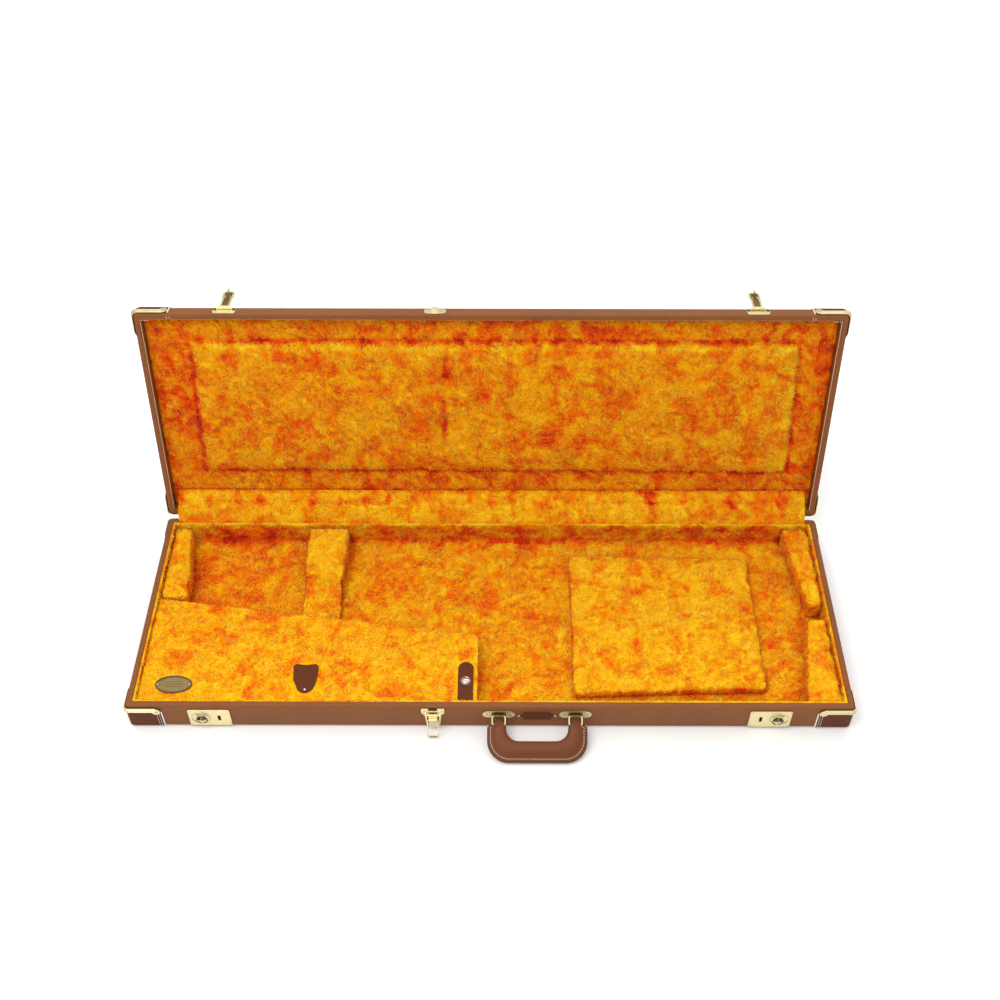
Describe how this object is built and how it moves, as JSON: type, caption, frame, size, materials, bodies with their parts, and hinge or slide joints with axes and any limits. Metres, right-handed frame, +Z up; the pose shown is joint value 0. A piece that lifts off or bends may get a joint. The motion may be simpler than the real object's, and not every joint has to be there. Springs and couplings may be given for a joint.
{
  "type": "guitar case",
  "caption": "Rectangular hardshell electric guitar case, lying open, with plush pads, an accessory compartment, latches and a handle.",
  "frame": {"origin": "centre of the base shell's flat underside", "axes": "+X along the case towards the end for the guitar's body, +Y towards the hinges, +Z up"},
  "size_m": [1.0758, 0.5794, 0.429],
  "materials": {
    "vinyl_over_plywood": "satin",
    "plush": "matte",
    "dark_leather": "satin",
    "grip_leather": "satin",
    "pale_brass": "gloss",
    "nickel": "polished"
  },
  "bodies": {
    "base": {"base_shell": "vinyl_over_plywood", "base_lining": "plush", "head_end_pad": "plush", "neck_support": "plush", "body_pad": "plush", "butt_pad_rear": "plush", "butt_pad_front": "plush", "compartment_wall": "plush", "base_front_left_patch": "dark_leather", "base_front_right_patch": "dark_leather", "base_rear_left_patch": "dark_leather", "base_rear_right_patch": "dark_leather", "base_front_left_trim": "pale_brass", "base_front_right_trim": "pale_brass", "base_rear_left_trim": "pale_brass", "base_rear_right_trim": "pale_brass", "lock_plate_left": "pale_brass", "lock_plate_right": "pale_brass", "latch_plate": "pale_brass", "handle_plate_left": "pale_brass", "handle_plate_right": "pale_brass", "name_plate": "dark_leather", "hinge_1_base_leaf": "pale_brass", "hinge_2_base_leaf": "pale_brass", "hinge_3_base_leaf": "pale_brass", "hinge_1_pin": "pale_brass", "hinge_2_pin": "pale_brass", "hinge_3_pin": "pale_brass"},
    "lid": {"lid_shell": "vinyl_over_plywood", "lid_lining": "plush", "lid_pad": "plush", "hinge_flap": "plush", "lid_front_left_patch": "dark_leather", "lid_front_right_patch": "dark_leather", "lid_rear_left_patch": "dark_leather", "lid_rear_right_patch": "dark_leather", "lid_front_left_trim": "pale_brass", "lid_front_right_trim": "pale_brass", "lid_rear_left_trim": "pale_brass", "lid_rear_right_trim": "pale_brass", "hasp_plate_left": "pale_brass", "hasp_plate_right": "pale_brass", "latch_keeper": "pale_brass", "hinge_1_lid_leaf": "pale_brass", "hinge_2_lid_leaf": "pale_brass", "hinge_3_lid_leaf": "pale_brass"},
    "hasp_left": {"hasp_left": "pale_brass"},
    "hasp_right": {"hasp_right": "pale_brass"},
    "latch_lever": {"latch_lever": "pale_brass"},
    "latch_bail": {"latch_bail": "pale_brass"},
    "lock_knob_left": {"lock_knob_left": "pale_brass"},
    "lock_knob_right": {"lock_knob_right": "pale_brass"},
    "handle": {"handle_grip": "grip_leather", "handle_loop_left": "pale_brass", "handle_loop_right": "pale_brass"},
    "compartment_lid": {"compartment_lid": "plush", "pull_tab": "dark_leather", "snap_strap": "dark_leather", "strap_snap": "nickel", "badge_plate": "pale_brass"}
  },
  "joints": [
    {"name": "lid_hinge", "type": "hinge", "parent": "base", "child": "lid", "pos_m": [0, 0.189, 0.0515], "axis": [-1, 0, 0], "range_deg": [-101.5, 0]},
    {"name": "hasp_left_hinge", "type": "hinge", "parent": "lid", "child": "hasp_left", "pos_m": [-0.4, 0.27902, 0.41873], "axis": [-1, 0, 0], "range_deg": [-178, 0]},
    {"name": "hasp_right_hinge", "type": "hinge", "parent": "lid", "child": "hasp_right", "pos_m": [0.4, 0.27902, 0.41873], "axis": [-1, 0, 0], "range_deg": [-178, 0]},
    {"name": "latch_lever_hinge", "type": "hinge", "parent": "base", "child": "latch_lever", "pos_m": [-0.084, -0.1898, 0.0355], "axis": [-1, 0, 0], "range_deg": [0, 100]},
    {"name": "latch_bail_hinge", "type": "hinge", "parent": "latch_lever", "child": "latch_bail", "pos_m": [-0.084, -0.1928, 0.0285], "axis": [1, 0, 0], "range_deg": [-155, 0]},
    {"name": "lock_knob_left_slide", "type": "slide", "parent": "base", "child": "lock_knob_left", "axis": [-1, 0, 0], "range_m": [0, 0.004], "stiffness_N_per_m": 200, "springref_m": -0.001},
    {"name": "lock_knob_right_slide", "type": "slide", "parent": "base", "child": "lock_knob_right", "axis": [1, 0, 0], "range_m": [0, 0.004], "stiffness_N_per_m": 200, "springref_m": -0.001},
    {"name": "handle_hinge", "type": "hinge", "parent": "base", "child": "handle", "pos_m": [0.0695, -0.1896, 0.034], "axis": [-1, 0, 0], "range_deg": [0, 100]},
    {"name": "compartment_lid_hinge", "type": "hinge", "parent": "base", "child": "compartment_lid", "pos_m": [-0.5215, 0.02, 0.0453], "axis": [-0.9908, 0.1351, 0], "range_deg": [0, 95]}
  ]
}
